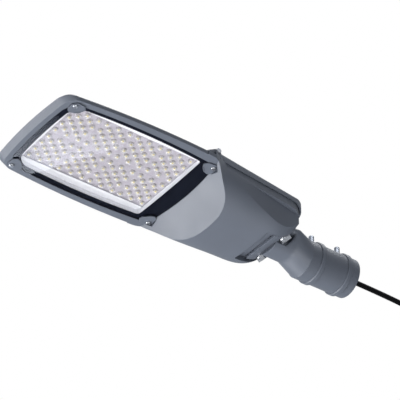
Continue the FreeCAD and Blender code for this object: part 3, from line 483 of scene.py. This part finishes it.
def clear_material(name, tint, rough, ior, shadow_tint, haze=0.0, haze_colour=None):
    """Refracting body; haze is the share of dull white that its steep sides show."""
    mat, s = new_material(name)
    dust = s.ramp(s.noise(40.0, 5.0), 0.35, 0.7, rough, rough + 0.015)
    body = principled(s, Base_Color=tint, Roughness=dust, IOR=ior, Transmission_Weight=1.0)
    if haze:
        dull = principled(s, Base_Color=haze_colour, Roughness=0.25)
        facing = s.node("ShaderNodeLayerWeight", out="Facing", Blend=0.5)
        share = s.ramp(facing, 0.15, 0.95, haze * 0.25, haze)
        body = s.node("ShaderNodeMixShader", i0=share, i1=body, i2=dull)
    open_shadow = s.node("ShaderNodeBsdfTransparent", Color=shadow_tint)
    shadow = s.node("ShaderNodeLightPath", out="Is Shadow Ray")
    bounce = s.node("ShaderNodeLightPath", out="Is Diffuse Ray")
    factor = shadow.calc("MAXIMUM", bounce)
    s.output("ShaderNodeOutputMaterial",
             s.node("ShaderNodeMixShader", i0=factor, i1=body, i2=open_shadow))
    return mat


window_glass = clear_material("window_glass", (1.0, 1.0, 1.0), 0.0, 1.25, (1.0, 1.0, 1.0))
lens_clear = clear_material("lens_acrylic", (0.99, 0.99, 0.98), 0.02, 1.49, (0.95, 0.95, 0.95),
                            0.70, (0.98, 0.98, 0.95))

# %% [markdown]
# The flat web between the lenses is so thin that it only adds a faint gloss.

# %% Thin clear sheet
clear_sheet, s = new_material("clear_web")
web_gloss = principled(s, Base_Color=(0.9, 0.9, 0.92),
                       Roughness=s.ramp(s.noise(60.0), 0.3, 0.7, 0.10, 0.2))
web_clear = s.node("ShaderNodeBsdfTransparent", Color=(0.885, 0.87, 0.89))
s.output("ShaderNodeOutputMaterial",
         s.node("ShaderNodeMixShader", i0=0.04, i1=web_clear, i2=web_gloss))

# %% [markdown]
# Each CAD node takes its material here. Nothing keeps the plain colour that
# the CAD file came with.

# %% Give the nodes their materials
finish_of = {
    "main_housing": coat,
    "gear_lid": coat,
    "spigot_adaptor": coat_adaptor,
    "collar_set_screws": steel_thread,
    "tilt_clamp_bolts": steel,
    "tilt_clamp_washers": steel,
    "lid_screws": steel,
    "hinge_pins": steel,
    "clip_screws": steel,
    "tray_screws": steel,
    "core_ferrules": steel,
    "lid_seal": rubber,
    "glass_gasket": rubber,
    "entry_grommet": rubber,
    "glass": window_glass,
    "led_board": board_white,
    "white_frame": white_sheet,
    "gear_tray": sheet_zinc,
    "led_driver": white_plastic,
    "surge_protector": black_plastic,
    "terminal_block": white_plastic,
    "cable_gland": black_plastic,
    "gland_cap": black_plastic,
    "lead_in_neck": sheath,
    "inner_lead": sheath,
    "led_lead": sheath,
    "lead_cores": copper_core,
}
for name in nodes:
    if name.startswith("glass_clip_"):
        finish_of[name] = coat
for name, mat in finish_of.items():
    node = nodes[name]
    node.data.materials.clear()
    node.data.materials.append(mat)
lead.data.materials.append(sheath)

# %% [markdown]
# ## Lenses
# Each of the eight plates carries eighteen moulded domes in a staggered
# grid. One dome is spun from its profile: a foot that stands on the board,
# then a slightly oblong cap. It is solid, so the light source inside it is
# magnified, as it is in the real optic.

# %% Lens plates


def finish_piece(name, bm, materials, body, replaces=()):
    mesh = bpy.data.meshes.new(name)
    bmesh.ops.recalc_face_normals(bm, faces=bm.faces)
    bm.to_mesh(mesh)
    bm.free()
    for mat in materials:
        mesh.materials.append(mat)
    piece = bpy.data.objects.new(name, mesh)
    scene.collection.objects.link(piece)
    if replaces:
        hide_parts(*replaces)
    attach(piece, body)
    mesh.calc_loop_triangles()
    print(name, len(mesh.loop_triangles), "triangles")
    return piece


def spun_profile(profile, steps):
    """Closed form of revolution about Z from (radius, height) pairs."""
    bm = bmesh.new()
    verts = [bm.verts.new((r, 0.0, z)) for r, z in profile]
    edges = [bm.edges.new(pair) for pair in zip(verts, verts[1:])]
    bmesh.ops.spin(bm, geom=verts + edges, cent=(0, 0, 0), axis=(0, 0, 1),
                   angle=2 * math.pi, steps=steps, use_merge=True)
    bmesh.ops.remove_doubles(bm, verts=bm.verts, dist=1e-6)
    return bm


lens_pitch = 11.4
lens_row = 10.3
plate_h = 3.2
sheet_t = 0.5
module_pitch = (62.2, 82.1)
foot_r = 5.0
foot_h = 0.6
root_h = plate_h + 0.2
dome_r = 4.8
dome_h = 4.0
dome_steps = 8
dome_sides = 24
oblong = (1.04, 0.96, 1.0)
profile = [(0.0, root_h), (foot_r, root_h), (foot_r, -foot_h * 0.6), (foot_r - 0.25, -foot_h)]
for k in range(dome_steps + 1):
    a = math.pi / 2 * k / dome_steps
    profile.append((dome_r * math.cos(a), -foot_h - (dome_h - foot_h) * math.sin(a)))
bm = spun_profile([(r * MM, z * MM) for r, z in profile], dome_sides)
bmesh.ops.scale(bm, vec=oblong, verts=bm.verts)
for face in bm.faces:
    face.smooth = True
dome = bpy.data.meshes.new("one_dome")
bm.to_mesh(dome)
bm.free()


def lens_spots(cx, cy):
    """Every second place of a grid of five by seven, round the plate's middle."""
    return [(cx + i * lens_pitch * MM, cy + j * lens_row * MM)
            for i in range(-2, 3) for j in range(-3, 4) if (i + j) % 2]


all_spots = []
for k in range(1, 9):
    name = "lens_plate_%d" % k
    low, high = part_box(name)
    cx = (low[0] + high[0]) / 2
    cy = (low[1] + high[1]) / 2
    plate_z = high[2] - plate_h * MM
    bm = bmesh.new()
    for x, y in lens_spots(cx, cy):
        known = set(bm.verts)
        bm.from_mesh(dome)
        fresh = [v for v in bm.verts if v not in known]
        bmesh.ops.translate(bm, vec=(x, y, plate_z), verts=fresh)
        all_spots.append((x, y))
    made = bmesh.ops.create_cube(bm, size=1.0)["verts"]
    bmesh.ops.scale(bm, vec=(module_pitch[0] * MM, module_pitch[1] * MM, sheet_t * MM),
                    verts=made)
    bmesh.ops.translate(bm, vec=(cx, cy, plate_z + sheet_t * MM), verts=made)
    for face in {f for v in made for f in v.link_faces}:
        face.material_index = 1
    upright = [e for e in bm.edges if abs(e.verts[0].co.z - e.verts[1].co.z) > sheet_t * MM / 2
               and e.verts[0] in made and e.verts[1] in made]
    bmesh.ops.bevel(bm, geom=upright, offset=0.5 * MM, offset_type="OFFSET", segments=2,
                    profile=0.5, affect="EDGES", material=-1)
    finish_piece(name + "_lenses", bm, [lens_clear, clear_sheet], "head", [name])
print(len(all_spots), "lenses")

# %% [markdown]
# ## Light sources
# Inside each dome sits a surface-mounted LED: a white package on the board
# with a domed yellow phosphor that reaches down into the lens.

# %% LED packages
bm = bmesh.new()
low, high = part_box("led_chips")
package = 3.2 * MM
phosphor_r = 1.45 * MM
phosphor_h = 1.3 * MM
deep = 3.0 * MM
cap_steps = 4
cap_sides = 12
quarter = [math.pi / 2 * k / cap_steps for k in range(cap_steps + 1)]
cap = spun_profile([(0.0, 0.0)] + [(phosphor_r * math.cos(a), -phosphor_h * math.sin(a))
                                   for a in quarter], cap_sides)
cap_mesh = bpy.data.meshes.new("one_phosphor")
cap.to_mesh(cap_mesh)
cap.free()
for x, y in all_spots:
    made = bmesh.ops.create_cube(bm, size=1.0)["verts"]
    bmesh.ops.scale(bm, vec=(package, package, deep), verts=made)
    bmesh.ops.translate(bm, vec=(x, y, high[2] - deep / 2), verts=made)
    known = set(bm.verts)
    bm.from_mesh(cap_mesh)
    fresh = [v for v in bm.verts if v not in known]
    bmesh.ops.translate(bm, vec=(x, y, high[2] - deep), verts=fresh)
    for face in {f for v in fresh for f in v.link_faces}:
        face.material_index = 1
        face.smooth = True
finish_piece("led_packages", bm, [package_white, phosphor], "head", ["led_chips"])

# %% [markdown]
# ## Print on the glass
# A black border is printed on the inner face of the glass. It sits just under
# that face, because fired print has no air behind it to mirror. Its outer outline
# follows the glass, its inner one is the window. Both are four large arcs
# joined by corner arcs, so both have the same number of points and one strip
# of quads joins them.

# %% Black border


def outline(front, rear, half, wide_x, side_r, front_r, rear_r, front_c, rear_c, inset):
    """Points of a barrel-shaped outline in millimetres, all the way round."""
    front, rear, half = front - inset, rear + inset, half - inset
    side_r, front_r, rear_r = side_r - inset, front_r - inset, rear_r - inset
    front_c, rear_c = max(front_c - inset, 2.0), max(rear_c - inset, 2.0)
    side = Vector((wide_x, half - side_r))
    nose = Vector((front - front_r, 0.0))
    tail = Vector((rear + rear_r, 0.0))

    def corner(end, end_r, r, sign):
        ra, rb = side_r - r, end_r - r
        gap = end - side
        d = gap.length
        along = (ra * ra - rb * rb + d * d) / (2 * d)
        off = math.sqrt(ra * ra - along * along)
        u = gap / d
        w = Vector((-u.y, u.x))
        best = max((side + u * along + w * off, side + u * along - w * off),
                   key=lambda p: p.y + sign * p.x)
        return best, best + (best - side).normalized() * r, best + (best - end).normalized() * r

    def arc(centre, a, b, count):
        a0 = math.atan2(a.y - centre.y, a.x - centre.x)
        a1 = math.atan2(b.y - centre.y, b.x - centre.x)
        if a1 < a0:
            a1 += 2 * math.pi
        r = (a - centre).length
        return [centre + Vector((math.cos(a0 + (a1 - a0) * k / count),
                                 math.sin(a0 + (a1 - a0) * k / count))) * r
                for k in range(count)]

    fq, fs, fe = corner(nose, front_r, front_c, 1.0)
    rq, rs, re = corner(tail, rear_r, rear_c, -1.0)
    half_loop = arc(nose, Vector((front, 0.0)), fe, 16) + arc(fq, fe, fs, 10)
    half_loop += arc(side, fs, rs, 32) + arc(rq, rs, re, 10)
    half_loop += arc(tail, re, Vector((rear, 0.0)), 16)
    other = [Vector((p.x, -p.y)) for p in reversed(half_loop[1:])]
    return half_loop + [Vector((rear, 0.0))] + other


glass_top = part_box("glass")[1][2]
outer = outline(657.5, 354.0, 107.6, 500.0, 1240.0, 900.0, 507.0, 34.0, 26.0, 0.8)
inner = outline(644.5, 386.6, 97.1, 500.0, 1240.0, 900.0, 2500.0, 30.0, 6.0, 0.0)
bm = bmesh.new()
rings = []
print_low, print_high = -0.15, -0.03
for loop, dz in ((outer, print_low), (inner, print_low), (inner, print_high),
                 (outer, print_high)):
    rings.append([bm.verts.new((p.x * MM, p.y * MM, glass_top + dz * MM)) for p in loop])
for a, b in zip(rings, rings[1:] + rings[:1]):
    for k in range(len(a)):
        n = (k + 1) % len(a)
        bm.faces.new((a[k], a[n], b[n], b[k]))
print_black = moulded("ceramic_print", (0.006, 0.008, 0.016), 0.5, 0.00001, 0.1, shine=0.04)
finish_piece("glass_print", bm, [print_black], "head", ())
